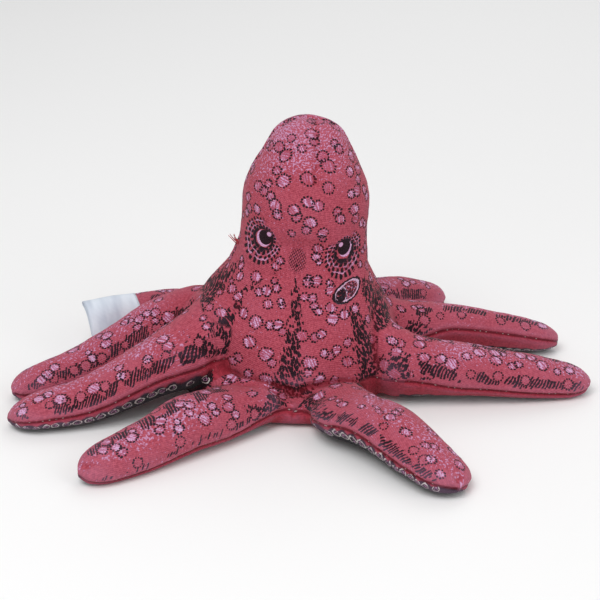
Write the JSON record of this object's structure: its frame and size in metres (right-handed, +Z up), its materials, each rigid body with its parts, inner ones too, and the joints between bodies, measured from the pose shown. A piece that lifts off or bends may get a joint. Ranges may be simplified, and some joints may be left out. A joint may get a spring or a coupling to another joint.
{
  "type": "plush octopus",
  "caption": "Stuffed cotton octopus with a tall head, a bell-shaped body and bendable tapering arms with sucker-printed undersides.",
  "frame": {"origin": "centre of the base on the floor, under the body's axis", "axes": "+Z up, the face looks along -Y, +X to the right as seen from the front and along the widest reach of the arms"},
  "size_m": [0.2257, 0.1707, 0.1065],
  "materials": {
    "printed_cotton": "woven cotton printed with lilac spots, black flecks and hatching",
    "sucker_cotton": "woven cotton printed black with ringed white suckers and a red margin",
    "plain_cotton": "plain woven cotton",
    "stuffing": "loose polyester fibre",
    "label_satin": "satin ribbon"
  },
  "bodies": {
    "body": {"front_panel": "printed_cotton", "back_panel": "printed_cotton", "base_panel": "plain_cotton", "head_stuffing": "stuffing", "body_stuffing": "stuffing"},
    "front_left": {"front_left_arm_top": "printed_cotton", "front_left_arm_underside": "sucker_cotton", "front_left_arm_stuffing": "stuffing"},
    "front_right": {"front_right_arm_top": "printed_cotton", "front_right_arm_underside": "sucker_cotton", "front_right_arm_stuffing": "stuffing"},
    "right_fore": {"right_fore_arm_top": "printed_cotton", "right_fore_arm_underside": "sucker_cotton", "right_fore_arm_stuffing": "stuffing"},
    "right_rear": {"right_rear_arm_top": "printed_cotton", "right_rear_arm_underside": "sucker_cotton", "right_rear_arm_stuffing": "stuffing"},
    "back_right": {"back_right_arm_top": "printed_cotton", "back_right_arm_underside": "sucker_cotton", "back_right_arm_stuffing": "stuffing"},
    "back_left": {"back_left_arm_top": "printed_cotton", "back_left_arm_underside": "sucker_cotton", "back_left_arm_stuffing": "stuffing"},
    "left_rear": {"left_rear_arm_top": "printed_cotton", "left_rear_arm_underside": "sucker_cotton", "left_rear_arm_stuffing": "stuffing"},
    "left_fore": {"left_fore_arm_top": "printed_cotton", "left_fore_arm_underside": "sucker_cotton", "left_fore_arm_stuffing": "stuffing"},
    "label": {"care_label": "label_satin"}
  },
  "joints": [
    {"name": "front_left_lift", "type": "hinge", "parent": "body", "child": "front_left", "pos_m": [-0.01797, -0.03685, 0.0125], "axis": [-0.7314, 0.682, 0], "range_deg": [-30, 40], "stiffness_Nm_per_rad": 0.01},
    {"name": "front_right_lift", "type": "hinge", "parent": "body", "child": "front_right", "pos_m": [0.01402, -0.03853, 0.0125], "axis": [-0.7193, -0.6947, 0], "range_deg": [-30, 40], "stiffness_Nm_per_rad": 0.01},
    {"name": "right_fore_lift", "type": "hinge", "parent": "body", "child": "right_fore", "pos_m": [0.03746, -0.01668, 0.0125], "axis": [-0.1045, -0.9945, 0], "range_deg": [-30, 40], "stiffness_Nm_per_rad": 0.01},
    {"name": "right_rear_lift", "type": "hinge", "parent": "body", "child": "right_rear", "pos_m": [0.03801, 0.01536, 0.0125], "axis": [0.2079, -0.9781, 0], "range_deg": [-30, 40], "stiffness_Nm_per_rad": 0.01},
    {"name": "back_right_lift", "type": "hinge", "parent": "body", "child": "back_right", "pos_m": [0.01668, 0.03746, 0.01125], "axis": [0.829, -0.5592, 0], "range_deg": [-30, 40], "stiffness_Nm_per_rad": 0.01},
    {"name": "back_left_lift", "type": "hinge", "parent": "body", "child": "back_left", "pos_m": [-0.02173, 0.03477, 0.01125], "axis": [0.4067, 0.9135, 0], "range_deg": [-30, 40], "stiffness_Nm_per_rad": 0.01},
    {"name": "left_rear_lift", "type": "hinge", "parent": "body", "child": "left_rear", "pos_m": [-0.03978, 0.00992, 0.02], "axis": [-0.2419, 0.9703, 0], "range_deg": [-30, 40], "stiffness_Nm_per_rad": 0.01},
    {"name": "left_fore_lift", "type": "hinge", "parent": "body", "child": "left_fore", "pos_m": [-0.03801, -0.01536, 0.02], "axis": [-0.4067, 0.9135, 0], "range_deg": [-30, 40], "stiffness_Nm_per_rad": 0.01},
    {"name": "label_flap", "type": "hinge", "parent": "left_rear", "child": "label", "pos_m": [-0.07276, 0.0109, 0.01284], "axis": [-0.9248, -0.3804, 0], "range_deg": [-25, 25], "stiffness_Nm_per_rad": 0.0005}
  ]
}
